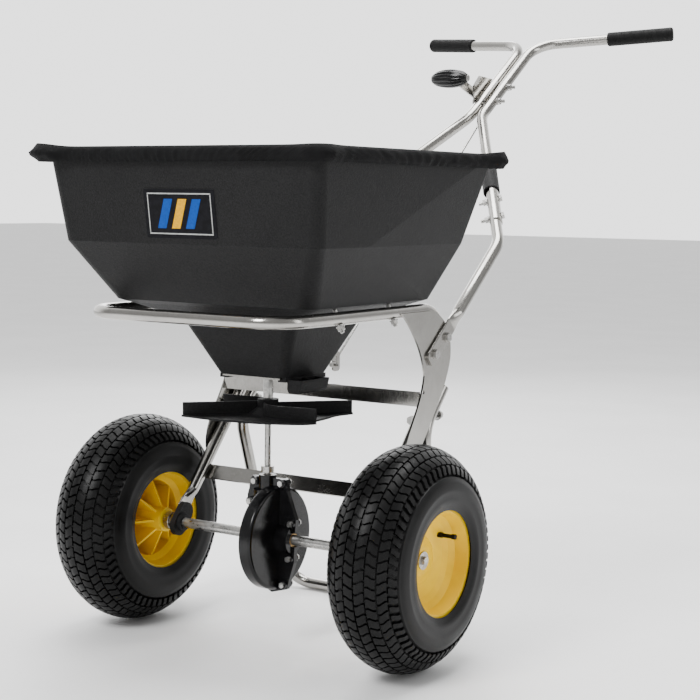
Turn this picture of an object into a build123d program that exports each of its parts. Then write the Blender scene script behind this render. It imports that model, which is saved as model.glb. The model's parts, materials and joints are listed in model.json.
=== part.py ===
"""Walk-behind broadcast spreader: tube frame, tub hopper, ground-driven spinner and lever gate.

Frame: millimetres, +Z up, -Y forwards (the way it is pushed), +X to the operator's left-hand
side. The origin is on the ground, right under the middle of the axle.
"""
import os
from math import atan2, cos, degrees, radians, sin

from build123d import *

os.makedirs("parts", exist_ok=True)

# ---------------------------------------------------------------- driving dimensions
TYRE_OD = 330.0  # 13 x 5.00-6 turf tyre
TYRE_W = 126.0
WHEEL_X = 256.0  # wheel centre plane
AXLE_Z = TYRE_OD / 2
AXLE_R = 7.95  # 5/8 in axle
TUBE_R = 9.525  # 3/4 in frame and handle tube
TUBE_WALL = 1.5

LOOP_X = 177.0  # tube centre planes of the hopper loop and the struts
LOOP_FRONT_Y = -210.0
LOOP_Z = 511.0
LOOP_CORNER_R = 52.0
STRUT_Y = 205.0  # vertical run behind the side plate
STRUT_KNEE_Z = 411.6

PLATE_X = 186.6  # inner face of the side plates
PLATE_T = 3.0

RIM_X, RIM_FRONT, RIM_BACK, RIM_Z = 244.0, -220.0, 255.0, 744.0
WAIST_X, WAIST_FRONT, WAIST_BREAK_Y, WAIST_Z = 228.5, -201.0, -80.0, 612.5
SHELF_X, SHELF_FRONT, SHELF_BACK, SHELF_Z = 180.0, -150.0, 180.0, 527.0
LEDGE_X, LEDGE_FRONT, LEDGE_BACK, LEDGE_Z = 164.0, -134.0, 164.0, 521.3
THROAT_X, THROAT_FRONT, THROAT_BACK, THROAT_Z = 104.0, -87.0, 105.0, 498.0
OUTLET_X, OUTLET_FRONT, OUTLET_BACK, OUTLET_Z = 62.0, -44.5, 64.5, 414.5
HOPPER_WALL = 4.0
FUNNEL_TOP = 519.0  # the tub above this level, the funnel below it

SHAFT_R = 4.76  # 3/8 in spinner shaft
SPINNER_Z = 350.0
FIN_TOP_Z = 372.0

GEAR_MODULE = 2.5
PINION_TEETH = 10
RING_TEETH = 46
PINION_R = GEAR_MODULE * PINION_TEETH / 2
RING_R = GEAR_MODULE * RING_TEETH / 2

HANDLE_X = 192.0  # lower handle tubes
HANDLE_KNEE = Vector(HANDLE_X, 366, 609)
HANDLE_NECK = Vector(11.5, 628, 829)
HANDLE_BEND = Vector(11.5, 832, 973)
GRIP_IN = Vector(143.2, 873.6, 982.5)
GRIP_OUT = Vector(259.7, 910.6, 990.9)

STAND_X = LOOP_X
STAND_FOOT_Y = 310.0

LEVER_PIVOT = Vector(-29.7, 698, 866)
KNOB_CENTRE = Vector(-42, 604, 897)
KNOB_HALF = 35.0
LEVER_PIN = Vector(-29.7, 716.3, 830.4)
ROD_X = -35.5
GATE_PIN_Y, GATE_PIN_Z = 226.0, 406.5
GATE_TRAVEL = 13.6


# ---------------------------------------------------------------- helpers
def save(part, label):
    """Label a finished piece and write it as its own STEP file."""
    part.label = label
    export_step(part, f"parts/{label}.step")


def mirrored(part):
    """The same piece on the other side of the machine."""
    return mirror(part, about=Plane.YZ, mode=Mode.PRIVATE)


def both_sides(part, name):
    """Write a right-hand piece and its left-hand mirror image."""
    save(part, f"{name}_right")
    save(mirrored(part), f"{name}_left")


def tube_solid(path, radius=TUBE_R, wall=TUBE_WALL):
    """A round tube swept along a path of straight runs and tangent arcs."""
    start = Plane(origin=path @ 0, z_dir=path % 0)
    with BuildPart() as tube:
        with BuildSketch(start):
            Circle(radius)
            if wall:
                Circle(radius - wall, mode=Mode.SUBTRACT)
        sweep(path=path)
    return tube.part


def rod(start, end, radius):
    """A plain round bar between two points."""
    start, end = Vector(*start), Vector(*end)
    with BuildPart() as bar:
        with BuildSketch(Plane(origin=start, z_dir=end - start)):
            Circle(radius)
        extrude(amount=(end - start).length)
    return bar.part


def bolt(head, tip, radius, head_r, head_h, nut_at=None, hexagon=True):
    """A bolt whose shank runs from under its head to its tip, with an optional nut."""
    head, tip = Vector(*head), Vector(*tip)
    along = Plane(origin=head, z_dir=tip - head)
    with BuildPart() as screw:
        with BuildSketch(along):
            Circle(radius)
        extrude(amount=(tip - head).length)
        with BuildSketch(along):
            if hexagon:
                RegularPolygon(head_r, 6)
            else:
                Circle(head_r)
        extrude(amount=-head_h)
        if nut_at is not None:
            with BuildSketch(along.offset(nut_at)):
                RegularPolygon(radius * 1.9, 6)
            extrude(amount=radius * 1.7)
            with BuildSketch(along.offset(nut_at - 1.2)):
                Circle(radius * 2.1)
            extrude(amount=1.2)
    return screw.part


def group(parts):
    """Separate solids that share one node."""
    return Compound(children=[s for p in parts for s in p.solids()])


# ---------------------------------------------------------------- frame tube
def frame_path(side):
    """Half of the loop, its rear bend and the strut down to the axle, from the front centre."""
    return FilletPolyline(
        (0, LOOP_FRONT_Y, LOOP_Z),
        (side * LOOP_X, LOOP_FRONT_Y, LOOP_Z),
        (side * LOOP_X, STRUT_Y, LOOP_Z),
        (side * LOOP_X, STRUT_Y, STRUT_KNEE_Z),
        (side * LOOP_X, 0, AXLE_Z),
        radius=[LOOP_CORNER_R, 48, 60],
    )


STRUT_ANGLE = degrees(atan2(STRUT_KNEE_Z - AXLE_Z, STRUT_Y))
STRUT_DIR = Vector(0, cos(radians(STRUT_ANGLE)), sin(radians(STRUT_ANGLE)))
AXLE_POINT = Vector(LOOP_X, 0, AXLE_Z)
TAB_T = 4.0  # squashed tube end
TAB_W = 27.0


def hopper_bolt_line(y):
    """Centre of the loop tube where a hopper bolt crosses it, and the bolt's direction."""
    return Vector(LOOP_X, y, LOOP_Z), Vector(0.4, 0, -0.9165)


HOPPER_BOLT_YS = (-77, 64)
STAND_BOLT_Z = 344.0
PLATE_BOLTS = ((165.0, 443.6), (200.5, 467.0))


def frame_half():
    """Right half of the frame tube, with its squashed lower end."""
    path = frame_path(1)
    with BuildPart() as half:
        add(tube_solid(path))
        # everything below the squash starts is replaced by the flat tab
        cut = Plane(origin=AXLE_POINT + STRUT_DIR * 60, x_dir=(1, 0, 0), z_dir=STRUT_DIR)
        split(bisect_by=cut, keep=Keep.TOP)
        flat = Plane(origin=AXLE_POINT + STRUT_DIR * 36, x_dir=(1, 0, 0), z_dir=STRUT_DIR)
        with BuildSketch(cut):
            Circle(TUBE_R)
        with BuildSketch(flat):
            with Locations((TAB_T / 2, 0)):
                RectangleRounded(TAB_T, TAB_W, TAB_T / 2 - 0.05)
        loft()
        with BuildSketch(flat):
            with Locations((TAB_T / 2, 0)):
                RectangleRounded(TAB_T, TAB_W, TAB_T / 2 - 0.05)
        extrude(amount=-36)
        with BuildSketch(Plane(origin=AXLE_POINT, z_dir=(1, 0, 0))):
            Circle(TAB_W / 2)
        extrude(amount=TAB_T)
        with BuildSketch(Plane(origin=AXLE_POINT + Vector(-1, 0, 0), z_dir=(1, 0, 0))):
            Circle(AXLE_R + 1.2)
        extrude(amount=TAB_T + 2, mode=Mode.SUBTRACT)
        for y in HOPPER_BOLT_YS:
            centre, direction = hopper_bolt_line(y)
            add(rod(centre - direction * 14, centre + direction * 14, 3.25), mode=Mode.SUBTRACT)
        y, z = PLATE_BOLTS[1]
        add(rod((LOOP_X - 14, y, z), (LOOP_X + 14, y, z), 4.2), mode=Mode.SUBTRACT)
        add(rod((STAND_X, 120, STAND_BOLT_Z), (STAND_X, 180, STAND_BOLT_Z), 4.2), mode=Mode.SUBTRACT)
    return half.part


right_half = frame_half()
with BuildPart() as frame_tube:
    add(right_half)
    add(mirrored(right_half))
save(frame_tube.part, "frame_loop_tube")

# ---------------------------------------------------------------- side plates
ACCESSORY_HOLE = (140.0, 387.0)
ACCESSORY_HOLE_R = 3.3

with BuildPart() as side_plate:
    with BuildSketch(Plane(origin=(PLATE_X, 0, 0), x_dir=(0, 1, 0), z_dir=(1, 0, 0))):
        with BuildLine():
            front_top = Spline((75, 510), (104, 482), (127, 452), (143, 412))
            front_low = Spline(front_top @ 1, (131, 376), (110, 341), (93, 312), (86, 272))
            toe = Line(front_low @ 1, (98, 262))
            rear_low = Spline(toe @ 1, (140, 307.5), (183, 363), (204, 394), (219, 428))
            rear_top = Spline(rear_low @ 1, (220, 455), (209, 482), (184, 502), (160, 510))
            Line(rear_top @ 1, front_top @ 0)
        make_face()
        with Locations(*PLATE_BOLTS):
            Circle(4.2, mode=Mode.SUBTRACT)
        with Locations(ACCESSORY_HOLE):
            Circle(ACCESSORY_HOLE_R, mode=Mode.SUBTRACT)
    extrude(amount=PLATE_T)
both_sides(side_plate.part, "side_plate")

# ---------------------------------------------------------------- crossbars
UPPER_BAR_Z = 376.5
with BuildPart() as upper_bar:
    with BuildSketch(Plane.YZ.offset(-PLATE_X + 0.2)):
        with Locations((133.5, UPPER_BAR_Z)):
            Rectangle(3, 23)
    extrude(amount=2 * (PLATE_X - 0.2))
save(upper_bar.part, "upper_crossbar")

LOWER_BAR_UP = 101.5  # distance up the strut from the axle
bar_normal = Vector(0, sin(radians(STRUT_ANGLE)), -cos(radians(STRUT_ANGLE)))
bar_centre = Vector(0, 0, AXLE_Z) + STRUT_DIR * LOWER_BAR_UP + bar_normal * (TUBE_R + 1.75)
with BuildPart() as lower_bar:
    with BuildSketch(Plane(origin=bar_centre, x_dir=(1, 0, 0), z_dir=bar_normal)):
        RectangleRounded(2 * LOOP_X + 12, 25, 3)
    extrude(amount=1.5, both=True)
save(lower_bar.part, "lower_crossbar")

# ---------------------------------------------------------------- axle bearings
with BuildPart() as bearing:
    face = Plane(origin=(LOOP_X - 0.3, 0, AXLE_Z), x_dir=STRUT_DIR, z_dir=(-1, 0, 0))
    with BuildSketch(face):
        with Locations((6, 0)):
            SlotOverall(56, 32)
        Circle(AXLE_R + 0.06, mode=Mode.SUBTRACT)
    extrude(amount=9)
    with BuildSketch(face.offset(9)):
        Circle(14)
        Circle(AXLE_R + 0.06, mode=Mode.SUBTRACT)
    extrude(amount=6)
    fillet(bearing.faces().sort_by(Axis.X)[0].outer_wire().edges(), 1.5)
both_sides(bearing.part, "axle_bearing")

# ---------------------------------------------------------------- stand
stand_path = FilletPolyline(
    (STAND_X, 220, 386),
    (STAND_X, 160, 322),
    (STAND_X, 214, 160),
    (STAND_X, STAND_FOOT_Y, TUBE_R),
    (-STAND_X, STAND_FOOT_Y, TUBE_R),
    (-STAND_X, 214, 160),
    (-STAND_X, 160, 322),
    (-STAND_X, 220, 386),
    radius=[62, 150, 46, 46, 150, 62],
)
with BuildPart() as stand:
    add(tube_solid(stand_path))
    for side in (1, -1):
        x = side * STAND_X
        add(rod((x, 140, STAND_BOLT_Z), (x, 210, STAND_BOLT_Z), 4.2), mode=Mode.SUBTRACT)
save(stand.part, "stand_tube")

stand_bolt = bolt((STAND_X, 129, STAND_BOLT_Z), (STAND_X, 216, STAND_BOLT_Z), 4.0, 7.5, 5, nut_at=74.5)
save(group([stand_bolt, mirrored(stand_bolt)]), "stand_bolts")

# ---------------------------------------------------------------- handle
KNEE_DIR = (HANDLE_NECK - HANDLE_KNEE).normalized()
LOW_DIR = (HANDLE_KNEE - Vector(HANDLE_X, *PLATE_BOLTS[0])).normalized()
ROUND_AT, FLAT_AT, TIP_AT = 92.0, 66.0, -18.0  # along the lower run, from the first bolt
LOW_START = Vector(HANDLE_X, *PLATE_BOLTS[0]) + LOW_DIR * ROUND_AT
SPLICE_OUT = (KNEE_DIR.cross(Vector(1, 0, 0)).cross(KNEE_DIR)).normalized()
LOWER_END = 155.0  # along the sloping run, measured from the knee
SADDLE_START, SADDLE_END = 57.0, 168.0
SLEEVE_START, SLEEVE_END = 145.0, 215.0
SPLICE_BOLTS = (72.0, 122.0)
SLEEVE_R = 14.2

lower_path = FilletPolyline(LOW_START, HANDLE_KNEE, HANDLE_KNEE + KNEE_DIR * LOWER_END, radius=70)
with BuildPart() as lower_handle:
    add(tube_solid(lower_path))
    round_end = Plane(origin=LOW_START, x_dir=(1, 0, 0), z_dir=LOW_DIR)
    flat_end = Plane(origin=LOW_START - LOW_DIR * (ROUND_AT - FLAT_AT), x_dir=(1, 0, 0), z_dir=LOW_DIR)
    with BuildSketch(round_end):
        Circle(TUBE_R)
    with BuildSketch(flat_end):
        RectangleRounded(TAB_T, TAB_W, TAB_T / 2 - 0.05)
    loft()
    with BuildSketch(flat_end):
        RectangleRounded(TAB_T, TAB_W, TAB_T / 2 - 0.05)
    extrude(amount=TIP_AT - FLAT_AT)
    tip = Plane(origin=LOW_START - LOW_DIR * (ROUND_AT - TIP_AT), x_dir=LOW_DIR, z_dir=(1, 0, 0))
    with BuildSketch(tip.offset(-TAB_T / 2)):
        with Locations((0, -TAB_W / 2 + 4.5), (0, TAB_W / 2 - 4.5)):
            Rectangle(18, 9.1)
        with Locations((9, -TAB_W / 2 + 9), (9, TAB_W / 2 - 9)):
            Circle(9, mode=Mode.SUBTRACT)
        with Locations((14, 0)):
            Rectangle(10, TAB_W + 1, mode=Mode.SUBTRACT)
    extrude(amount=TAB_T, mode=Mode.SUBTRACT)
    for y, z in PLATE_BOLTS:
        add(rod((HANDLE_X - 5, y, z), (HANDLE_X + 5, y, z), 4.2), mode=Mode.SUBTRACT)
    for s in SPLICE_BOLTS:
        at = HANDLE_KNEE + KNEE_DIR * s
        add(rod(at - SPLICE_OUT * 14, at + SPLICE_OUT * 14, 3.25), mode=Mode.SUBTRACT)
both_sides(lower_handle.part, "lower_handle")

GRIP_DIR = (GRIP_OUT - GRIP_IN).normalized()
upper_path = FilletPolyline(
    HANDLE_KNEE + KNEE_DIR * (LOWER_END + 1.5),
    HANDLE_NECK,
    HANDLE_BEND,
    GRIP_OUT - GRIP_DIR * 8,
    radius=[70, 56],
)
CLAMP_STATIONS = (51.0, 99.0)  # along the parallel run from the neck
RUN_DIR = (HANDLE_BEND - HANDLE_NECK).normalized()
with BuildPart() as upper_handle:
    add(tube_solid(upper_path))
    saddle = Plane(origin=HANDLE_KNEE + KNEE_DIR * SADDLE_START, x_dir=SPLICE_OUT, z_dir=KNEE_DIR)
    with BuildSketch(saddle):
        Circle(TUBE_R + 2.2)
        Circle(TUBE_R + 0.15, mode=Mode.SUBTRACT)
        with Locations((-10, 0)):
            Rectangle(20, 40, mode=Mode.SUBTRACT)
    extrude(amount=SADDLE_END - SADDLE_START)
    with BuildSketch(saddle.offset(LOWER_END + 3 - SADDLE_START)):
        Circle(TUBE_R + 2.2)
        Circle(TUBE_R - 0.4, mode=Mode.SUBTRACT)
    extrude(amount=SADDLE_END - LOWER_END - 3)
    for s in SPLICE_BOLTS:
        at = HANDLE_KNEE + KNEE_DIR * s
        add(rod(at, at + SPLICE_OUT * 16, 3.25), mode=Mode.SUBTRACT)
    for s in CLAMP_STATIONS:
        at = HANDLE_NECK + RUN_DIR * s
        add(rod(at - Vector(14, 0, 0), at + Vector(14, 0, 0), 3.25), mode=Mode.SUBTRACT)
both_sides(upper_handle.part, "upper_handle")

with BuildPart() as sleeve:
    with BuildSketch(saddle.offset(SLEEVE_START - SADDLE_START)):
        Circle(SLEEVE_R)
        Circle(TUBE_R + 2.35, mode=Mode.SUBTRACT)
    extrude(amount=SLEEVE_END - SLEEVE_START)
    with BuildSketch(saddle.offset(SLEEVE_END - SADDLE_START)):
        Circle(SLEEVE_R)
        Circle(TUBE_R + 0.15, mode=Mode.SUBTRACT)
    extrude(amount=5)
    fillet(sleeve.edges().filter_by(GeomType.CIRCLE).group_by(SortBy.RADIUS)[-1], 1.2)
both_sides(sleeve.part, "splice_sleeve")

splice_bolts = []
for s in SPLICE_BOLTS:
    at = HANDLE_KNEE + KNEE_DIR * s
    screw = bolt(at + SPLICE_OUT * (TUBE_R + 2.3), at - SPLICE_OUT * 24, 3.1, 6.5, 4,
                 nut_at=2 * TUBE_R + 4.4)
    splice_bolts += [screw, mirrored(screw)]
save(group(splice_bolts), "splice_bolts")

plate_bolts = []
for (y, z), inner in zip(PLATE_BOLTS, (PLATE_X - 9, LOOP_X - 22)):
    grip = HANDLE_X + TAB_T / 2 + 0.1
    screw = bolt((grip, y, z), (inner, y, z), 4.0, 7.5, 5,
                 nut_at=grip - (PLATE_X - 1.3 if inner > LOOP_X else LOOP_X - TUBE_R - 1.4))
    plate_bolts += [screw, mirrored(screw)]

clamp_bolts = []
for s in CLAMP_STATIONS:
    at = HANDLE_NECK + RUN_DIR * s
    outer = HANDLE_NECK.X + TUBE_R
    clamp_bolts.append(bolt((-outer - 2.7, at.Y, at.Z), (outer + 14, at.Y, at.Z), 3.1, 6.5, 4,
                            nut_at=2 * outer + 4.1))
save(group(plate_bolts + clamp_bolts), "handle_bolts")

with BuildPart() as grip:
    with BuildSketch(Plane(origin=GRIP_IN, z_dir=GRIP_DIR)):
        Circle(13)
    extrude(amount=(GRIP_OUT - GRIP_IN).length)
    fillet(grip.edges().filter_by(GeomType.CIRCLE), 3)
    with BuildSketch(Plane(origin=GRIP_IN - GRIP_DIR, z_dir=GRIP_DIR)):
        Circle(TUBE_R + 0.15)
    extrude(amount=(GRIP_OUT - GRIP_IN).length - 5, mode=Mode.SUBTRACT)
both_sides(grip.part, "hand_grip")

# ---------------------------------------------------------------- hopper
# height, half width, front, back, where the side crease starts, half width at the back, corner
TUB_SECTIONS = (
    (RIM_Z, RIM_X, RIM_FRONT, RIM_BACK, RIM_BACK - 20, RIM_X, 16),
    (WAIST_Z, WAIST_X, WAIST_FRONT, 216.0, WAIST_BREAK_Y, 214.0, 18),
    (SHELF_Z, SHELF_X, SHELF_FRONT, SHELF_BACK, SHELF_BACK - 27, SHELF_X, 24),
    (LEDGE_Z, LEDGE_X, LEDGE_FRONT, LEDGE_BACK, LEDGE_BACK - 24, LEDGE_X, 20),
    (THROAT_Z, THROAT_X, THROAT_FRONT, THROAT_BACK, THROAT_BACK - 22, THROAT_X, 18),
    (OUTLET_Z, OUTLET_X, OUTLET_FRONT, OUTLET_BACK, OUTLET_BACK - 14, OUTLET_X, 12),
)
LIP_T, LIP_H = 2.2, 9.0
PORT_X, PORT_Y, PORT_W, PORT_L = 27.0, 30.0, 36.0, 12.0


def tub_section(z, x, front, back, crease_y, back_x, corner, inset=0.0, lift=0.0):
    """One level of the tub: a rounded six-sided outline."""
    x, back_x, front, back = x - inset, back_x - inset, front + inset, back - inset
    with BuildSketch(Plane.XY.offset(z + lift)) as section:
        with BuildLine():
            Polyline((-x, front), (x, front), (x + 0.4, crease_y), (back_x, back),
                     (-back_x, back), (-x - 0.4, crease_y), close=True)
        make_face()
        fillet(section.vertices().filter_by(lambda v: abs(v.Y - crease_y) > 1), corner - inset)
    return section.sketch


def tub_solid(inset=0.0, lift=0.0):
    """The tub as a solid: rim, waist, shelf, throat and outlet joined by flat panels."""
    with BuildPart() as solid:
        for section in TUB_SECTIONS:
            add(tub_section(*section, inset=inset, lift=lift))
        loft(ruled=True)
    return solid.part


with BuildPart() as hopper:
    add(tub_solid())
    with BuildSketch(Plane.XY.offset(RIM_Z - LIP_H)):
        with Locations((0, (RIM_FRONT + RIM_BACK) / 2)):
            RectangleRounded(2 * (RIM_X + LIP_T), RIM_BACK - RIM_FRONT + 2 * LIP_T, 18)
    extrude(amount=LIP_H)
    add(tub_solid(inset=HOPPER_WALL, lift=HOPPER_WALL), mode=Mode.SUBTRACT)
    with BuildSketch(Plane.XY.offset(OUTLET_Z - 1)):
        with Locations((PORT_X, PORT_Y), (-PORT_X, PORT_Y)):
            RectangleRounded(PORT_W, PORT_L, 4)
        Circle(8.5)
    extrude(amount=HOPPER_WALL + 2, mode=Mode.SUBTRACT)
    for y in HOPPER_BOLT_YS:
        centre, direction = hopper_bolt_line(y)
        for sign in (1, -1):
            start, end = centre - direction * 26, centre
            add(rod((sign * start.X, y, start.Z), (sign * end.X, y, end.Z), 3.25),
                mode=Mode.SUBTRACT)
tub_level = Plane.XY.offset(FUNNEL_TOP)
floor_level = Plane.XY.offset(OUTLET_Z + HOPPER_WALL)
below_tub = hopper.part.split(tub_level, keep=Keep.BOTTOM)
save(hopper.part.split(tub_level, keep=Keep.TOP), "hopper")
save(below_tub.split(floor_level, keep=Keep.TOP), "hopper_funnel")
save(below_tub.split(floor_level, keep=Keep.BOTTOM), "hopper_floor")

hopper_bolts = []
for y in HOPPER_BOLT_YS:
    centre, direction = hopper_bolt_line(y)
    screw = bolt(centre - direction * 19.7, centre + direction * 21, 3.1, 6, 3,
                 nut_at=19.7 + TUBE_R + 2.8, hexagon=False)
    hopper_bolts += [screw, mirrored(screw)]
save(group(hopper_bolts), "hopper_bolts")

# front badge: a plain plate on the upper front panel
PANEL_SLOPE = (WAIST_FRONT - RIM_FRONT) / (RIM_Z - WAIST_Z)
BADGE_Z = 655
panel = Plane(origin=(-1, RIM_FRONT + PANEL_SLOPE * (RIM_Z - BADGE_Z), BADGE_Z), x_dir=(1, 0, 0),
              z_dir=(0, -1, -PANEL_SLOPE))
with BuildPart() as badge:
    with BuildSketch(panel):
        RectangleRounded(126, 69, 3)
    extrude(amount=0.6)
save(badge.part, "front_badge")

# ---------------------------------------------------------------- rain cover
HEM_Z = 726.8
COVER_Z = RIM_Z + 0.6
COVER_TOP = 752.0
cover_mid = (RIM_FRONT + RIM_BACK) / 2
cover_len = RIM_BACK - RIM_FRONT

with BuildPart() as cover:
    with BuildSketch(Plane.XY.offset(COVER_Z)):
        with Locations((0, cover_mid)):
            RectangleRounded(2 * RIM_X + 11, cover_len + 11, 24)
    extrude(amount=COVER_TOP - COVER_Z)
    fillet(cover.faces().sort_by(Axis.Z)[-1].edges(), 5)
save(cover.part, "cover_top")

with BuildPart() as hem:
    with BuildSketch(Plane.XY.offset(HEM_Z)):
        with Locations((0, cover_mid)):
            RectangleRounded(2 * RIM_X + 11, cover_len + 11, 24)
            RectangleRounded(2 * RIM_X + 5.4, cover_len + 5.4, 19, mode=Mode.SUBTRACT)
    extrude(amount=COVER_Z - HEM_Z)
save(hem.part, "cover_hem")

# ---------------------------------------------------------------- gate under the hopper
GATE_TOP = OUTLET_Z - 0.6
GATE_T = 2.4
with BuildPart() as gate:
    with BuildSketch(Plane.XY.offset(GATE_TOP)):
        with Locations((0, 10)):
            Rectangle(106, 108)
        with Locations((-25, 135)):
            Rectangle(12, 154)
        with Locations((0, GATE_TRAVEL / -2)):
            SlotCenterToCenter(GATE_TRAVEL, 17, rotation=90, mode=Mode.SUBTRACT)
        with Locations((PORT_X, PORT_Y - GATE_TRAVEL), (-PORT_X, PORT_Y - GATE_TRAVEL)):
            RectangleRounded(PORT_W, PORT_L, 4, mode=Mode.SUBTRACT)
    extrude(amount=-GATE_T)
    # upright lug with a slot for the rod's pin, which rises as the gate is pulled back
    lug = Plane(origin=(-31, 0, 0), x_dir=(0, 1, 0), z_dir=(1, 0, 0))
    with BuildSketch(lug):
        with Locations((GATE_PIN_Y, GATE_PIN_Z + 6)):
            RectangleRounded(20, 32, 6)
        with Locations((GATE_PIN_Y - 19, GATE_TOP - GATE_T)):
            Rectangle(24, 2 * GATE_T)
        with Locations((GATE_PIN_Y, GATE_PIN_Z + 6)):
            SlotCenterToCenter(12.6, 4.3, rotation=90, mode=Mode.SUBTRACT)
    extrude(amount=2.6)
save(gate.part, "gate_plate")

rails = []
for side in (1, -1):
    with BuildPart() as rail:
        with BuildSketch(Plane.XZ.offset(-64)):
            with BuildLine():
                Polyline((side * 54, OUTLET_Z), (side * 61, OUTLET_Z), (side * 61, 408.4),
                         (side * 47, 408.4), (side * 47, 410.8), (side * 54, 410.8), close=True)
            make_face()
        extrude(amount=104)
    rails.append(rail.part)
save(group(rails), "gate_rails")

# deflector block that hangs on the right rail, towards the back
with BuildPart() as deflector:
    with BuildSketch(Plane.XZ.offset(-34)):
        with BuildLine():
            Polyline((61.2, 412), (88, 412), (88, 409), (84, 396), (80, 392), (64, 392),
                     (61.2, 398), close=True)
        make_face()
    extrude(amount=70)
    with BuildSketch(Plane.XY.offset(412)):
        with Locations((74, -18), (74, 16)):
            Rectangle(16, 26)
    extrude(amount=-12, mode=Mode.SUBTRACT)
save(deflector.part, "deflector_block")

# ---------------------------------------------------------------- spinner and its shaft
SHAFT_BOTTOM, SHAFT_TOP = 206.0, 470.0
save(rod((0, 0, SHAFT_BOTTOM), (0, 0, SHAFT_TOP), SHAFT_R), "spinner_shaft")

with BuildPart() as spacer:
    with BuildSketch(Plane.XY.offset(378)):
        Circle(7.6)
        Circle(SHAFT_R + 0.03, mode=Mode.SUBTRACT)
    extrude(amount=32)
    with BuildSketch(Plane.XY.offset(264)):
        Circle(10)
        Circle(SHAFT_R + 0.03, mode=Mode.SUBTRACT)
    extrude(amount=9)
save(group([spacer.part]), "shaft_collars")

# polar outline of the disc: its edge winds outwards to each blade tip, twice round
RIM_POLAR = ((44, 131), (62, 106), (78, 96), (96, 90), (114, 92), (134, 98), (150, 110), (164, 116))
NOTCH_POLAR = ((168, 98), (184, 95), (200, 97), (214, 106), (221, 121))


def polar(points, turn):
    """Points on the disc from (degrees, radius) pairs."""
    return [(r * cos(radians(a + turn)), r * sin(radians(a + turn))) for a, r in points]


def blade(points, thickness, height):
    """An upright curved blade along points on the disc."""
    with BuildPart() as fin:
        with BuildSketch(Plane.XY.offset(SPINNER_Z + 2.5)):
            with BuildLine():
                Spline(*points)
            trace(line_width=thickness)
        extrude(amount=height)
    return fin.part


with BuildPart() as spinner:
    with BuildSketch(Plane.XY.offset(SPINNER_Z)):
        with BuildLine():
            for turn in (0, 180):
                long_side = Spline(*polar(RIM_POLAR, turn))
                notch = polar(NOTCH_POLAR, turn)
                Line(long_side @ 1, notch[0])
                Spline(*notch, polar(RIM_POLAR, turn + 180)[0])
        make_face()
    extrude(amount=3)
    with BuildSketch(Plane.XY.offset(SPINNER_Z - 8)):
        Circle(16)
    extrude(amount=34)
    with BuildSketch(Plane.XY.offset(SPINNER_Z + 3)):
        Circle(30)
    with BuildSketch(Plane.XY.offset(SPINNER_Z + 14)):
        Circle(16)
    loft()
    for turn in (0, 180):
        add(blade(polar(((4, 13), (40, 60), (44, 129)), turn), 2.6, FIN_TOP_Z - SPINNER_Z - 2.5))
        add(blade(polar(((-76, 14), (-50, 44), (-22, 82), (-15, 112)), turn), 2.6,
                  FIN_TOP_Z - SPINNER_Z - 2.5))
    with BuildSketch(Plane.XY.offset(SPINNER_Z - 10)):
        Circle(SHAFT_R + 0.03)
    extrude(amount=40, mode=Mode.SUBTRACT)
save(spinner.part, "spinner")

agitator_wires = []
for turn in (0, 180):
    points = [Vector(x, 0, z).rotate(Axis.Z, turn) for x, z in ((7, 431), (34, 431), (46, 446))]
    agitator_wires.append(tube_solid(FilletPolyline(*points, radius=8), radius=2.5, wall=0))
with BuildPart() as agitator:
    with BuildSketch(Plane.XY.offset(424)):
        Circle(9)
        Circle(SHAFT_R + 0.03, mode=Mode.SUBTRACT)
    extrude(amount=14)
    add(agitator_wires)
save(agitator.part, "agitator")

# ---------------------------------------------------------------- gearbox
EARS = ((-19, 249), (31, 250), (49, 190), (46, 136), (35, 95), (-28, 217), (-22, 120))


def box_outline():
    """Outer form of the gearbox: gear disc, shaft tower, axle boss and split flange."""
    with BuildPart() as outer:
        with BuildSketch(Plane.YZ.offset(3)):
            with Locations((0, AXLE_Z)):
                Circle(79)
        extrude(amount=23)
        fillet(outer.edges().filter_by(GeomType.CIRCLE), 5)
        with BuildSketch(Plane.XY.offset(196)):
            Circle(21)
        extrude(amount=42)
        with BuildSketch(Plane.XY.offset(238)):
            Circle(13.5)
        extrude(amount=22)
        with BuildSketch(Plane.YZ.offset(-22)):
            with Locations((0, AXLE_Z)):
                Circle(21)
        extrude(amount=72)
        with BuildSketch(Plane.XZ.offset(-4)):
            with BuildLine():
                Polyline((-26, 256), (38, 256), (40, 236), (56, 196), (53, 130), (40, 88),
                         (12, 80), (-4, 88), (-29, 116), (-18, 130), (-10, 150), (-10, 196),
                         (-35, 212), (-35, 226), close=True)
            make_face()
        extrude(amount=8)
        with BuildSketch(Plane.XZ.offset(-9)):
            with Locations(*EARS):
                Circle(6.5)
        extrude(amount=18)
    return outer.part


with BuildPart() as gearbox:
    add(box_outline())
    with BuildSketch(Plane.YZ.offset(8)):
        with Locations((0, AXLE_Z)):
            Circle(69)
    extrude(amount=15, mode=Mode.SUBTRACT)
    with BuildSketch(Plane.XY.offset(213)):
        Circle(17)
    extrude(amount=22, mode=Mode.SUBTRACT)
    add(rod((0, 0, 203), (0, 0, 270), 7.5), mode=Mode.SUBTRACT)
    add(rod((-30, 0, AXLE_Z), (60, 0, AXLE_Z), 11), mode=Mode.SUBTRACT)
    for x, z in EARS:
        add(rod((x, -12, z), (x, 12, z), 2.6), mode=Mode.SUBTRACT)
with BuildPart() as box_front:
    add(gearbox.part)
    split(bisect_by=Plane.XZ, keep=Keep.TOP)
with BuildPart() as box_rear:
    add(gearbox.part)
    split(bisect_by=Plane.XZ, keep=Keep.BOTTOM)
save(box_front.part, "gearbox_front")
save(box_rear.part, "gearbox_rear")
save(group([bolt((x, -9, z), (x, 15, z), 2.5, 4.6, 3, nut_at=19.4) for x, z in EARS]),
     "gearbox_bolts")

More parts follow.
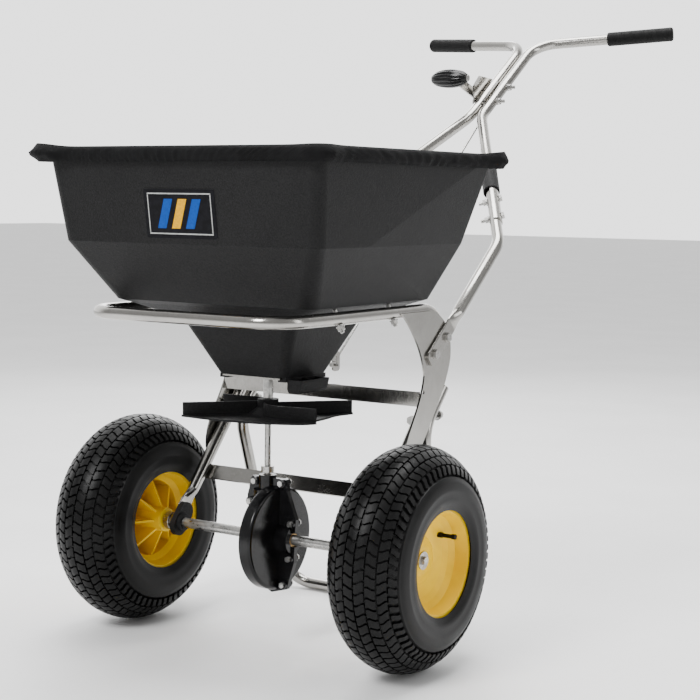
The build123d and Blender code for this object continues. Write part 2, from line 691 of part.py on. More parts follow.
bushes = []
for z, h in ((204, 8), (237, 22)):
    with BuildPart() as bush:
        with BuildSketch(Plane.XY.offset(z)):
            Circle(7.5)
            Circle(SHAFT_R + 0.05, mode=Mode.SUBTRACT)
        extrude(amount=h)
    bushes.append(bush.part)
for x, length in ((-21, 20), (34, 15)):
    with BuildPart() as bush:
        with BuildSketch(Plane(origin=(x, 0, AXLE_Z), z_dir=(1, 0, 0))):
            Circle(11)
            Circle(AXLE_R + 0.05, mode=Mode.SUBTRACT)
        extrude(amount=length)
    bushes.append(bush.part)
save(group(bushes), "gearbox_bushes")

TOOTH_H = 4.6
MESH_Z = AXLE_Z + RING_R
PINION_FACE = 8.0
with BuildPart() as pinion:
    with BuildSketch(Plane.XY.offset(MESH_Z - PINION_FACE / 2)):
        Circle(PINION_R - 2.9)
    extrude(amount=PINION_FACE)
    with BuildSketch(Plane.XY.offset(MESH_Z - PINION_FACE / 2)):
        with PolarLocations(0, PINION_TEETH):
            Polygon((PINION_R - 3.4, -2.3), (PINION_R, -1.7), (PINION_R + 2.2, -0.8),
                    (PINION_R + 2.2, 0.8), (PINION_R, 1.7), (PINION_R - 3.4, 2.3), align=None)
    extrude(amount=PINION_FACE)
    with BuildSketch(Plane.XY.offset(MESH_Z + PINION_FACE / 2)):
        Circle(9)
    extrude(amount=7)
    with BuildSketch(Plane.XY.offset(MESH_Z - 10)):
        Circle(SHAFT_R + 0.03)
    extrude(amount=30, mode=Mode.SUBTRACT)
save(pinion.part, "spinner_pinion")

TOOTH_TIP_X = 10.6
TOOTH_ROOT_X = TOOTH_TIP_X + TOOTH_H
with BuildPart() as ring_gear:
    with BuildSketch(Plane(origin=(TOOTH_ROOT_X, 0, AXLE_Z), z_dir=(1, 0, 0))):
        Circle(63)
    extrude(amount=6)
    with BuildSketch(Plane(origin=(TOOTH_ROOT_X + 0.2, 0, AXLE_Z), z_dir=(1, 0, 0))):
        Circle(16)
    extrude(amount=7.2)
    with BuildSketch(Plane(origin=(TOOTH_ROOT_X + 6, 0, AXLE_Z), z_dir=(1, 0, 0))):
        Circle(50)
        Circle(22, mode=Mode.SUBTRACT)
    extrude(amount=-3, mode=Mode.SUBTRACT)
    for i in range(RING_TEETH):
        turn = 360 * (i + 0.5) / RING_TEETH
        up = Vector(0, 0, 1).rotate(Axis.X, turn)
        across = Vector(0, 1, 0).rotate(Axis.X, turn)
        foot = Vector(TOOTH_ROOT_X + 0.3, 0, AXLE_Z) + up * 52.5
        with BuildSketch(Plane(origin=foot, x_dir=across, z_dir=up)):
            Trapezoid(3.4, TOOTH_H + 0.3, 76, align=(Align.CENTER, Align.MIN))
        extrude(amount=10)
    add(rod((0, 0, AXLE_Z), (60, 0, AXLE_Z), AXLE_R + 0.03), mode=Mode.SUBTRACT)
save(ring_gear.part, "ring_gear")

# ---------------------------------------------------------------- axle
AXLE_END = WHEEL_X + 20
with BuildPart() as axle:
    add(rod((-AXLE_END, 0, AXLE_Z), (AXLE_END, 0, AXLE_Z), AXLE_R))
    for side in (1, -1):
        add(rod((side * (AXLE_END - 22), 0, AXLE_Z), (side * (AXLE_END + 1), 0, AXLE_Z), 3.0),
            mode=Mode.SUBTRACT)
save(axle.part, "axle")

collars = []
for x in (186, -196):
    with BuildPart() as collar:
        with BuildSketch(Plane(origin=(x, 0, AXLE_Z), z_dir=(1, 0, 0))):
            Circle(14)
            Circle(AXLE_R + 0.03, mode=Mode.SUBTRACT)
        extrude(amount=10)
        chamfer(collar.edges().filter_by(GeomType.CIRCLE).group_by(SortBy.RADIUS)[-1], 0.8)
    collars.append(collar.part)
save(group(collars), "axle_collars")

# ---------------------------------------------------------------- wheels
def wheel_plane(x):
    """Sketch plane through the axle line: x along the axle from the wheel centre, y radial."""
    return Plane(origin=(x, 0, AXLE_Z), x_dir=(1, 0, 0), z_dir=(0, -1, 0))


wheel_axis = Axis((0, 0, AXLE_Z), (1, 0, 0))
BEAD_R, FLANGE_R, WELL_R = 74.5, 81.3, 63.0
FLANGE_X = 50.0

with BuildPart() as tyre:
    with BuildSketch(wheel_plane(WHEEL_X)):
        with BuildLine():
            crown = ThreePointArc((-34, 155.5), (0, TYRE_OD / 2), (34, 155.5))
            right = Spline(crown @ 1, (52, 138), (TYRE_W / 2, 107), (55, FLANGE_R + 1),
                           tangents=(Vector(1, -0.55), Vector(-0.5, -1)))
            left = Spline(crown @ 0, (-52, 138), (-TYRE_W / 2, 107), (-55, FLANGE_R + 1),
                          tangents=(Vector(-1, -0.55), Vector(0.5, -1)))
            inner_right = Spline((40, BEAD_R + 0.4), (50, 92), (54, 107), (44, 132), (29, 147))
            inner_left = Spline((-40, BEAD_R + 0.4), (-50, 92), (-54, 107), (-44, 132), (-29, 147))
            Polyline(right @ 1, (49.2, FLANGE_R + 1), (49.2, BEAD_R + 0.4), inner_right @ 0)
            Polyline(left @ 1, (-49.2, FLANGE_R + 1), (-49.2, BEAD_R + 0.4), inner_left @ 0)
            Line(inner_right @ 1, inner_left @ 1)
        make_face()
    revolve(axis=wheel_axis)
both_sides(tyre.part, "tyre")

HUB_BORE = AXLE_R + 2.5
DISC_R = WELL_R - 2.02
with BuildPart() as rim:
    with BuildSketch(wheel_plane(WHEEL_X)):
        with BuildLine():
            Polyline((-FLANGE_X - 3, FLANGE_R), (-FLANGE_X, FLANGE_R), (-FLANGE_X + 0.8, BEAD_R - 0.3),
                     (-30, BEAD_R - 2), (-22, WELL_R + 2), (22, WELL_R + 2), (30, BEAD_R - 2),
                     (FLANGE_X - 0.8, BEAD_R - 0.3), (FLANGE_X, FLANGE_R), (FLANGE_X + 3, FLANGE_R),
                     (FLANGE_X + 3, BEAD_R - 1), (34, BEAD_R - 6), (27, WELL_R - 2),
                     (-26, WELL_R - 2), (-34, BEAD_R - 6), (-FLANGE_X - 3, BEAD_R - 1), close=True)
        make_face()
    revolve(axis=wheel_axis)
both_sides(rim.part, "wheel_rim")

with BuildPart() as disc:
    with BuildSketch(wheel_plane(WHEEL_X)):
        with BuildLine():
            Polyline((27, DISC_R), (22, 52), (17, 34), (20, 21), (20, HUB_BORE), (-57, HUB_BORE),
                     (-57, 19), (11, 22), (12, 36), (16, 54), (18, DISC_R), close=True)
        make_face()
    revolve(axis=wheel_axis)
    with BuildSketch(wheel_plane(WHEEL_X)):
        with BuildLine():
            Polyline((12, 18), (-48, 18), (-26, DISC_R - 0.1), (18, DISC_R - 0.1), (14, 50), close=True)
        make_face()
    rib = extrude(amount=1.8, both=True)
    for i in range(1, 8):
        add(rib.rotate(wheel_axis, 45 * i))
    stem_at = Vector(0, 0, 52).rotate(Axis.X, -54)
    add(rod(Vector(WHEEL_X, 0, AXLE_Z) + stem_at, Vector(WHEEL_X + 40, 0, AXLE_Z) + stem_at, 4.1),
        mode=Mode.SUBTRACT)
both_sides(disc.part, "wheel_disc")

with BuildPart() as hub_bush:
    for x, length in ((WHEEL_X - 57, 24), (WHEEL_X - 4, 24)):
        with BuildSketch(Plane(origin=(x, 0, AXLE_Z), z_dir=(1, 0, 0))):
            Circle(HUB_BORE)
            Circle(AXLE_R + 0.05, mode=Mode.SUBTRACT)
        extrude(amount=length)
both_sides(group([hub_bush.part]), "hub_bushes")

with BuildPart() as valve:
    foot = Vector(WHEEL_X + 12, 0, AXLE_Z) + stem_at
    add(rod(foot, foot + Vector(16, 0, 0), 4.0))
    add(rod(foot + Vector(15, 0, 0), foot + Vector(32, 0, 0), 3.0))
    add(rod(foot + Vector(32, 0, 0), foot + Vector(38, 0, 0), 3.8))
both_sides(valve.part, "valve_stem")

end_bolt = bolt((AXLE_END + 2.2, 0, AXLE_Z), (AXLE_END - 20, 0, AXLE_Z), 2.95, 6.5, 4.4)
with BuildPart() as washer:
    add(rod((AXLE_END, 0, AXLE_Z), (AXLE_END + 2.2, 0, AXLE_Z), 13))
    add(rod((AXLE_END - 1, 0, AXLE_Z), (AXLE_END + 3, 0, AXLE_Z), 3.0), mode=Mode.SUBTRACT)
both_sides(group([end_bolt, washer.part]), "axle_end_bolt")

# ---------------------------------------------------------------- lever and control rod
BRACKET_X = -(HANDLE_NECK.X + TUBE_R) - 0.1
bracket_plane = Plane(origin=(BRACKET_X, 0, 0), x_dir=(0, 1, 0), z_dir=(1, 0, 0))
clamp_points = [HANDLE_NECK + RUN_DIR * s for s in CLAMP_STATIONS]
with BuildPart() as bracket:
    with BuildSketch(bracket_plane):
        with BuildLine():
            Polyline((656, 887), (678, 906.6), (740, 903), (740, 880), (712, 852), (692, 846),
                     (660.5, 846.5), close=True)
        make_face()
        for at in clamp_points:
            with Locations((at.Y, at.Z)):
                Circle(3.3, mode=Mode.SUBTRACT)
        with Locations((LEVER_PIVOT.Y, LEVER_PIVOT.Z)):
            Circle(4.0, mode=Mode.SUBTRACT)
    extrude(amount=-2.5)
    edge = Vector(0, 678 - 656, 906.6 - 887).normalized()
    flange = Plane(origin=(BRACKET_X - 2.5, 656, 887), x_dir=edge, z_dir=(edge.cross(Vector(1, 0, 0))))
    with BuildSketch(flange):
        with BuildLine():
            Polyline((1, 0.2), (28, 0.2), (28, 4), (24, 6), (5, 10), (1, 7), close=True)
        make_face()
    extrude(amount=2)
save(bracket.part, "lever_bracket")

with BuildPart() as spacer_plate:
    run = Plane(origin=(-1.95, clamp_points[0].Y, clamp_points[0].Z), x_dir=RUN_DIR, z_dir=(1, 0, 0))
    with BuildSketch(run):
        with Locations((24, 0)):
            SlotOverall(76, 18)
        with Locations((0, 0), (CLAMP_STATIONS[1] - CLAMP_STATIONS[0], 0)):
            Circle(3.3, mode=Mode.SUBTRACT)
    extrude(amount=3.9)
save(spacer_plate.part, "handle_spacer")

lever_plane = Plane(origin=(LEVER_PIVOT.X - 1.5, 0, 0), x_dir=(0, 1, 0), z_dir=(1, 0, 0))
reach = Vector(KNOB_CENTRE.Y - LEVER_PIVOT.Y, KNOB_CENTRE.Z - LEVER_PIVOT.Z)
tail = Vector(LEVER_PIN.Y - LEVER_PIVOT.Y, LEVER_PIN.Z - LEVER_PIVOT.Z)


def strip(start, direction, length, width):
    """A flat strip with round ends between two points of the lever plane."""
    turn = degrees(atan2(direction.Y, direction.X))
    middle = start + direction.normalized() * (length / 2)
    with Locations((middle.X, middle.Y)):
        SlotCenterToCenter(length, width, rotation=turn)


with BuildPart() as lever:
    pivot_2d = Vector(LEVER_PIVOT.Y, LEVER_PIVOT.Z)
    with BuildSketch(lever_plane):
        strip(pivot_2d, reach, reach.length, 17)
        strip(pivot_2d, tail, tail.length, 15)
        with Locations((LEVER_PIVOT.Y, LEVER_PIVOT.Z)):
            Circle(12)
            Circle(4.1, mode=Mode.SUBTRACT)
        pin = pivot_2d + tail
        with Locations((pin.X, pin.Y)):
            SlotCenterToCenter(2.6, 4.3, rotation=degrees(atan2(tail.Y, tail.X)), mode=Mode.SUBTRACT)
        with Locations((KNOB_CENTRE.Y, KNOB_CENTRE.Z)):
            Circle(3.3, mode=Mode.SUBTRACT)
    extrude(amount=3)
save(lever.part, "lever")

with BuildPart() as knob:
    with BuildSketch(Plane(origin=KNOB_CENTRE, x_dir=(1, 0, 0), z_dir=(0, -1, 0))):
        with BuildLine():
            barrel = ThreePointArc((-KNOB_HALF, 10.5), (0, 17), (KNOB_HALF, 10.5))
            Polyline(barrel @ 0, (-KNOB_HALF, 0), (KNOB_HALF, 0), barrel @ 1)
        make_face()
    revolve(axis=Axis(KNOB_CENTRE, (1, 0, 0)))
    with BuildSketch(lever_plane.offset(-0.05)):
        strip(pivot_2d, reach, reach.length, 17.2)
    extrude(amount=3.1, mode=Mode.SUBTRACT)
    add(rod(KNOB_CENTRE + Vector(-10, 0, 0), KNOB_CENTRE + Vector(45, 0, 0), 3.2), mode=Mode.SUBTRACT)
save(knob.part, "lever_knob")
knob_x = KNOB_CENTRE.X
save(bolt((knob_x + KNOB_HALF + 0.1, KNOB_CENTRE.Y, KNOB_CENTRE.Z),
          (knob_x - 8, KNOB_CENTRE.Y, KNOB_CENTRE.Z), 3.1, 6, 3.2), "knob_bolt")

py, pz = LEVER_PIVOT.Y, LEVER_PIVOT.Z
with BuildPart() as pivot_pin:
    add(rod((BRACKET_X - 0.1, py, pz), (LEVER_PIVOT.X - 3.2, py, pz), 4.0))
    with BuildSketch(Plane(origin=(LEVER_PIVOT.X - 2, py, pz), z_dir=(-1, 0, 0))):
        RegularPolygon(8, 6)
    extrude(amount=5)
    add(rod((BRACKET_X - 2.6, py, pz), (LEVER_PIVOT.X + 2, py, pz), 9))
save(pivot_pin.part, "lever_pivot_bolt")

rod_top = (ROD_X, LEVER_PIN.Y, LEVER_PIN.Z)
rod_foot = (ROD_X, GATE_PIN_Y, GATE_PIN_Z)
with BuildPart() as control_rod:
    add(rod(rod_foot, rod_top, 2.0))
    for (x, y, z), reach_x in ((rod_top, 10), (rod_foot, 12)):
        add(rod((x - 4, y, z), (x + reach_x, y, z), 2.0))
        add(rod((x - 4, y, z), (x + 2.5, y, z), 4.5))
save(control_rod.part, "control_rod")
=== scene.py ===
"""Looks of the walk-behind broadcast spreader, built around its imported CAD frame."""

import json
from math import atan2, cos, exp, hypot, pi, radians, sin, sqrt

import bmesh
import bpy
import numpy as np
from mathutils import Matrix, Vector, noise


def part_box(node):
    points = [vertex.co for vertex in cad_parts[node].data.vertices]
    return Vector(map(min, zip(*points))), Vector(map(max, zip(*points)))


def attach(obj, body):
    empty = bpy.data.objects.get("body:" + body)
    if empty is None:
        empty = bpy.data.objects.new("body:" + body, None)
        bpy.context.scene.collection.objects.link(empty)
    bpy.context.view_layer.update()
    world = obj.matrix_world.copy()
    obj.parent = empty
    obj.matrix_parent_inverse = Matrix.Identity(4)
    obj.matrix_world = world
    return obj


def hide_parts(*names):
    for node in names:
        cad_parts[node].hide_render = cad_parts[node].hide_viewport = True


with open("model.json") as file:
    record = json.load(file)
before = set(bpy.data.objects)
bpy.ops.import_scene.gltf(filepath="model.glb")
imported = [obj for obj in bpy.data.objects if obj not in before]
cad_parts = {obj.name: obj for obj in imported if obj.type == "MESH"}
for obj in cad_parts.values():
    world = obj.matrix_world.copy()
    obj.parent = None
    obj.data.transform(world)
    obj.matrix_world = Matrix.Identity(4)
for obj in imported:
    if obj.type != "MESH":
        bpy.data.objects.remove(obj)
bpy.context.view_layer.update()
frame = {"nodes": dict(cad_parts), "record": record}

NODES = frame["nodes"]
MM = 0.001


# ------------------------------------------------------------------ materials
class Shader:
    """A material's node tree, with one-line helpers for the nodes used here."""

    def __init__(self, name, **sockets):
        self.material = bpy.data.materials.new(name)
        self.material.use_nodes = True
        self.tree = self.material.node_tree
        self.surface = self.tree.nodes["Principled BSDF"]
        self.coords = self.tree.nodes.new("ShaderNodeTexCoord").outputs["Object"]
        for socket, value in sockets.items():
            self.surface.inputs[socket.replace("_", " ")].default_value = value

    def node(self, kind, **inputs):
        made = self.tree.nodes.new(kind)
        for socket, value in inputs.items():
            self.put(made.inputs[socket.replace("_", " ")], value)
        return made

    def put(self, socket, value):
        if isinstance(value, bpy.types.NodeSocket):
            self.tree.links.new(value, socket)
        else:
            socket.default_value = value

    def stretched(self, x, y, z):
        """The object coordinates scaled apart, for brushed or drawn surfaces."""
        mapping = self.node("ShaderNodeMapping", Vector=self.coords)
        mapping.inputs["Scale"].default_value = (x, y, z)
        return mapping.outputs["Vector"]

    def noise(self, scale, detail=3.0, coords=None, rough=0.5):
        made = self.node("ShaderNodeTexNoise", Scale=scale, Detail=detail, Roughness=rough)
        self.put(made.inputs["Vector"], coords or self.coords)
        return made.outputs["Fac"]

    def ramp(self, factor, low, high, start=0.35, end=0.65):
        made = self.node("ShaderNodeMapRange", Value=factor)
        made.inputs["From Min"].default_value = start
        made.inputs["From Max"].default_value = end
        made.inputs["To Min"].default_value = low
        made.inputs["To Max"].default_value = high
        return made.outputs["Result"]

    def mix(self, factor, first, second):
        made = self.tree.nodes.new("ShaderNodeMix")
        made.data_type = "RGBA"
        self.put(made.inputs["Factor"], factor)
        self.put(made.inputs[6], first)
        self.put(made.inputs[7], second)
        return made.outputs[2]

    def add(self, first, second, weight=1.0):
        made = self.node("ShaderNodeMath")
        made.operation = "MULTIPLY_ADD"
        self.put(made.inputs[0], second)
        self.put(made.inputs[1], weight)
        self.put(made.inputs[2], first)
        return made.outputs[0]

    def colour(self, value):
        self.put(self.surface.inputs["Base Color"], value)

    def roughness(self, value):
        self.put(self.surface.inputs["Roughness"], value)

    def bump(self, height, distance, strength=1.0):
        made = self.node("ShaderNodeBump", Height=height, Strength=strength, Distance=distance)
        self.put(self.surface.inputs["Normal"], made.outputs["Normal"])


def stainless():
    """Satin stainless tube and plate, with drawn streaks and faint handling marks."""
    s = Shader("stainless", Metallic=1.0)
    streaks = s.noise(1.0, 4, s.stretched(420, 420, 160))
    marks = s.noise(14, 5, rough=0.65)
    s.colour(s.mix(s.ramp(marks, 0.0, 1.0, 0.3, 0.75), (0.42, 0.41, 0.39, 1), (0.31, 0.3, 0.28, 1)))
    s.roughness(s.add(s.ramp(streaks, 0.15, 0.22), s.ramp(marks, 0.0, 0.09, 0.45, 0.7)))
    s.bump(streaks, 0.00001)
    return s.material


def zinc_steel():
    """Bright plated fasteners, shafts and rods."""
    s = Shader("zinc_steel", Metallic=1.0)
    blotch = s.noise(220, 4)
    s.colour(s.mix(s.ramp(blotch, 0, 1), (0.36, 0.36, 0.35, 1), (0.48, 0.47, 0.45, 1)))
    s.roughness(s.ramp(s.noise(90, 5), 0.2, 0.42))
    s.bump(s.noise(1400, 2), 0.00003)
    return s.material


def black_poly():
    """Rotomoulded black plastic: fine leathery grain, soft sheen, a trace of dust."""
    s = Shader("black_poly", IOR=1.48, Specular_IOR_Level=0.12)
    grain = s.add(s.noise(820, 3), s.noise(300, 2), 0.8)
    cloud = s.noise(7, 4)
    speckle = s.add(s.noise(480, 2), cloud, 0.5)
    s.colour(s.mix(s.ramp(speckle, 0, 1, 0.5, 1.0), (0.005, 0.005, 0.0052, 1), (0.015, 0.015, 0.0154, 1)))
    s.roughness(s.add(s.ramp(cloud, 0.43, 0.5), s.ramp(grain, 0.0, 0.08, 0.5, 1.1)))
    s.bump(grain, 0.0006)
    return s.material


def black_gloss():
    """Smooth, slightly wavy gloss black of the gearbox and the knob."""
    s = Shader("black_gloss", IOR=1.5, Specular_IOR_Level=0.3)
    wave = s.noise(60, 3)
    s.colour(s.mix(s.ramp(wave, 0, 1), (0.003, 0.003, 0.0033, 1), (0.006, 0.006, 0.0065, 1)))
    s.roughness(s.ramp(s.noise(300, 3), 0.16, 0.27))
    s.bump(wave, 0.00004)
    return s.material


def bronze():
    s = Shader("bronze", Metallic=1.0)
    spots = s.noise(500, 3)
    s.colour(s.mix(s.ramp(spots, 0, 1), (0.42, 0.27, 0.12, 1), (0.56, 0.38, 0.18, 1)))
    s.roughness(s.ramp(spots, 0.32, 0.45))
    s.bump(spots, 0.00003)
    return s.material


def tyre_rubber():
    """Black tyre rubber with a dry bloom and fine moulding texture."""
    s = Shader("tyre_rubber", IOR=1.5, Specular_IOR_Level=0.16)
    bloom = s.noise(22, 5, rough=0.6)
    fine = s.noise(900, 3)
    s.colour(s.mix(s.ramp(bloom, 0, 1, 0.35, 0.7), (0.0025, 0.0025, 0.0026, 1), (0.007, 0.007, 0.007, 1)))
    s.roughness(s.add(s.ramp(bloom, 0.3, 0.42), s.ramp(fine, 0.0, 0.07), 1.0))
    s.bump(fine, 0.00012)
    return s.material


def yellow_plastic():
    """Warm yellow moulded rim with faint flow marks."""
    s = Shader("yellow_plastic", IOR=1.49, Specular_IOR_Level=0.2)
    flow = s.noise(16, 4)
    specks = s.noise(700, 2)
    s.colour(s.mix(s.ramp(flow, 0, 1), (0.8, 0.49, 0.003, 1), (0.92, 0.6, 0.006, 1)))
    s.roughness(s.add(s.ramp(flow, 0.26, 0.36), s.ramp(specks, 0.0, 0.06)))
    s.bump(specks, 0.00006)
    return s.material


def grip_rubber():
    s = Shader("grip_rubber", IOR=1.5, Specular_IOR_Level=0.12)
    pores = s.noise(1300, 3)
    s.colour(s.mix(s.ramp(pores, 0, 1), (0.003, 0.003, 0.003, 1), (0.008, 0.008, 0.008, 1)))
    s.roughness(s.ramp(pores, 0.42, 0.6))
    s.bump(pores, 0.0002)
    return s.material


def cover_fabric():
    """Black woven nylon: crossed threads and a little fading."""
    s = Shader("cover_fabric", IOR=1.45, Specular_IOR_Level=0.12)
    weave = None
    for axis in ("X", "Y", "Z"):
        wave = s.node("ShaderNodeTexWave", Vector=s.coords, Scale=420, Distortion=0.6, Detail=1.0)
        wave.bands_direction = axis
        weave = wave.outputs["Fac"] if weave is None else s.add(weave, wave.outputs["Fac"])
    fade = s.noise(18, 5)
    s.colour(s.mix(s.ramp(fade, 0, 1, 0.35, 0.7), (0.003, 0.003, 0.0032, 1), (0.008, 0.008, 0.0085, 1)))
    s.roughness(s.ramp(fade, 0.6, 0.78))
    s.bump(weave, 0.00016)
    return s.material


def badge_print():
    """Plain black sticker with soft print texture."""
    s = Shader("badge", IOR=1.5, Specular_IOR_Level=0.08)
    mottle = s.noise(120, 4)
    s.colour(s.mix(s.ramp(mottle, 0, 1), (0.004, 0.004, 0.005, 1), (0.007, 0.007, 0.009, 1)))
    s.roughness(s.ramp(mottle, 0.3, 0.4))
    s.bump(mottle, 0.00003)
    return s.material


def badge_ink(name, colour):
    s = Shader(name, IOR=1.5, Specular_IOR_Level=0.12)
    mottle = s.noise(300, 3)
    faded = tuple(c * 0.8 for c in colour[:3]) + (1,)
    s.colour(s.mix(s.ramp(mottle, 0, 1), colour, faded))
    s.roughness(s.ramp(mottle, 0.32, 0.42))
    s.bump(mottle, 0.00003)
    return s.material


MATERIALS = {
    make.__name__: make()
    for make in (stainless, zinc_steel, black_poly, black_gloss, bronze, tyre_rubber,
                 yellow_plastic, grip_rubber, cover_fabric)
}
MATERIALS["badge"] = badge_print()
for part in frame["record"]["subparts"]:
    cad_mesh = NODES[part["node"]]
    for material_slot in cad_mesh.material_slots:
        material_slot.material = MATERIALS[part["material_slot"]]


# ------------------------------------------------------------------ mesh helpers
def piece(name, mesh, body, slot, material=None, smooth_deg=None):
    """A new object that rides on a body and takes its finish from a slot."""
    obj = bpy.data.objects.new(name, mesh)
    bpy.context.scene.collection.objects.link(obj)
    mesh.materials.append(material or MATERIALS[slot])
    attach(obj, body)
    if smooth_deg is not None:
        mesh.shade_smooth()
        mesh.set_sharp_from_angle(angle=radians(smooth_deg))
    return obj


def mesh_from(name, points, faces):
    mesh = bpy.data.meshes.new(name)
    mesh.from_pydata([tuple(p) for p in points], [], faces)
    bm = bmesh.new()
    bm.from_mesh(mesh)
    bmesh.ops.recalc_face_normals(bm, faces=bm.faces)
    bm.to_mesh(mesh)
    bm.free()
    return mesh


def ring_mesh(rings, closed_ends=False, close_rings=False):
    """Points and faces of a skin over equal-length closed rings of points."""
    count = len(rings[0])
    points = [p for ring in rings for p in ring]
    faces = []
    last = len(rings) if close_rings else len(rings) - 1
    for i in range(last):
        j = (i + 1) % len(rings)
        for k in range(count):
            m = (k + 1) % count
            faces.append((i * count + k, i * count + m, j * count + m, j * count + k))
    if closed_ends:
        faces.append(tuple(range(count)))
        faces.append(tuple((len(rings) - 1) * count + k for k in range(count)))
    return points, faces


# ------------------------------------------------------------------ tyres
SECTION_CENTRE_R = 101 * MM  # radius of the middle of the oval section
TREAD_HEIGHT = 4.6 * MM
TREAD_ROWS = 9
TREAD_PITCHES = 64
SHOULDER = radians(66)  # section angle where the tread ends


def section_point(angle, lift, centre_r, half_w, half_h):
    """Across-axle offset and radius on the tyre's oval section, at an angle from the crown."""
    x = half_w * sin(angle)
    r = centre_r + half_h * cos(angle)
    nx, nr = sin(angle) / half_w, cos(angle) / half_h
    size = hypot(nx, nr)
    return x + lift * nx / size, r + lift * nr / size


def tyre_carcass(wheel, centre_r, half_w, half_h, bead_r, flange_r):
    """The tyre's body: oval outside with sidewall ribs, and a hollow inside."""
    outline = []
    steps = 56
    for i in range(steps + 1):
        angle = radians(-113 + 226 * i / steps)
        lift = -TREAD_HEIGHT if abs(angle) < SHOULDER else -TREAD_HEIGHT * 0.25
        for rib in (78, 84, 101):
            if abs(abs(angle) - radians(rib)) < radians(2.2):
                lift += 1.1 * MM
        outline.append(section_point(angle, lift, centre_r, half_w, half_h))
    foot = 49 * MM
    outline += [(foot, flange_r + 1 * MM), (foot, bead_r), (foot - 9 * MM, bead_r)]
    for i in range(15):
        angle = radians(105 - 210 * i / 14)
        outline.append(section_point(angle, -8 * MM, centre_r, half_w, half_h))
    outline += [(-foot + 9 * MM, bead_r), (-foot, bead_r), (-foot, flange_r + 1 * MM)]
    rings = []
    turns = 144
    for k in range(turns):
        turn = 2 * pi * k / turns
        rings.append([wheel(x, r, turn) for x, r in outline])
    return ring_mesh(rings, close_rings=True)


def tread_blocks(wheel, centre_r, half_w, half_h, mirror_side):
    """Staggered rows of bent turf blocks that wrap over the shoulders."""
    points, faces = [], []
    row_angle = 2 * SHOULDER / TREAD_ROWS
    pitch = 2 * pi / TREAD_PITCHES
    across, along = 4, 3
    for row in range(TREAD_ROWS):
        outer_row = row in (0, TREAD_ROWS - 1)
        shift = 0.5 * (row % 2)
        for n in range(TREAD_PITCHES):
            base = len(points)
            for lift, grow in ((-TREAD_HEIGHT * 1.15, 1.0), (0.0, 0.93)):
                for v in range(along + 1):
                    for u in range(across + 1):
                        fu, fv = u / across - 0.5, v / along - 0.5
                        width = 0.93
                        angle = -SHOULDER + (row + 0.5 + fu * width * grow) * row_angle
                        step = 0.13 * mirror_side * (1 if row % 2 else -1)
                        bend = step * (1 if u > across / 2 else -1 if u < across / 2 else 0)
                        length = 0.6 if outer_row else 0.84
                        turn = (n + shift + fv * length * grow + bend) * pitch
                        drop = 0.35 * MM * (2 * abs(fu)) ** 3
                        x, r = section_point(angle, lift - drop, centre_r, half_w, half_h)
                        points.append(wheel(x, r, turn))
            row_len = across + 1
            layer = row_len * (along + 1)
            for v in range(along):
                for u in range(across):
                    a = base + layer + v * row_len + u
                    faces.append((a, a + 1, a + row_len + 1, a + row_len))
                    b = a - layer
                    faces.append((b, b + row_len, b + row_len + 1, b + 1))
            border = [(u, 0) for u in range(across)] + [(across, v) for v in range(along)]
            border += [(u, along) for u in range(across, 0, -1)] + [(0, v) for v in range(along, 0, -1)]
            ids = [base + v * row_len + u for u, v in border]
            for k, first in enumerate(ids):
                second = ids[(k + 1) % len(ids)]
                faces.append((first, second, second + layer, first + layer))
    return points, faces


def make_tyre(side, body):
    low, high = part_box("tyre_" + side)
    centre = (Vector(low) + Vector(high)) / 2
    outer_r = (high[2] - low[2]) / 2
    half_w = (high[0] - low[0]) / 2
    half_h = outer_r - SECTION_CENTRE_R
    rim_low, rim_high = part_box("wheel_rim_" + side)
    flange_r = (rim_high[2] - rim_low[2]) / 2
    bead_r = flange_r - 6.4 * MM

    def wheel(x, r, turn):
        return centre + Vector((x, r * sin(turn), r * cos(turn)))

    points, faces = tyre_carcass(wheel, SECTION_CENTRE_R, half_w, half_h, bead_r, flange_r)
    more, block_faces = tread_blocks(wheel, SECTION_CENTRE_R, half_w, half_h, 1 if side == "right" else -1)
    offset = len(points)
    points += more
    faces += [tuple(i + offset for i in face) for face in block_faces]
    mesh = mesh_from("tyre_" + side + "_treaded", points, faces)
    obj = piece("tyre_" + side + "_treaded", mesh, body, "tyre_rubber", smooth_deg=32)
    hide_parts("tyre_" + side)


make_tyre("right", "drive_axle")
make_tyre("left", "free_wheel")


# ------------------------------------------------------------------ lever knob
def make_knob():
    """The oval knob: twelve soft flutes that fade out at its ends."""
    low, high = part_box("lever_knob")
    centre = (Vector(low) + Vector(high)) / 2
    half = (high[0] - low[0]) / 2
    thick = (high[2] - low[2]) / 2
    flutes, turns, stations = 12, 96, 33
    profile = [(-half * 0.96, 0.3)]
    for i in range(stations):
        t = -1 + 2 * i / (stations - 1)
        profile.append((half * t, sqrt(max(1 - (0.86 * t) ** 2, 0)) * (1 - 0.12 * abs(t) ** 8)))
    profile.append((half * 0.96, 0.3))
    rings = []
    for x, swell in profile:
        fade = max(0.0, 1 - abs(x / half) ** 4) * (swell > 0.35)
        ring = []
        for k in range(turns):
            turn = 2 * pi * k / turns
            groove = 0.085 * fade * (0.5 + 0.5 * cos(flutes * turn)) ** 3
            r = thick * swell * (1 - groove)
            ring.append(centre + Vector((x, r * sin(turn), r * cos(turn))))
        rings.append(ring)
    mesh = mesh_from("knob_fluted", *ring_mesh(rings, closed_ends=True))
    obj = piece("knob_fluted", mesh, "gate_lever", "black_gloss", smooth_deg=50)
    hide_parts("lever_knob")


make_knob()


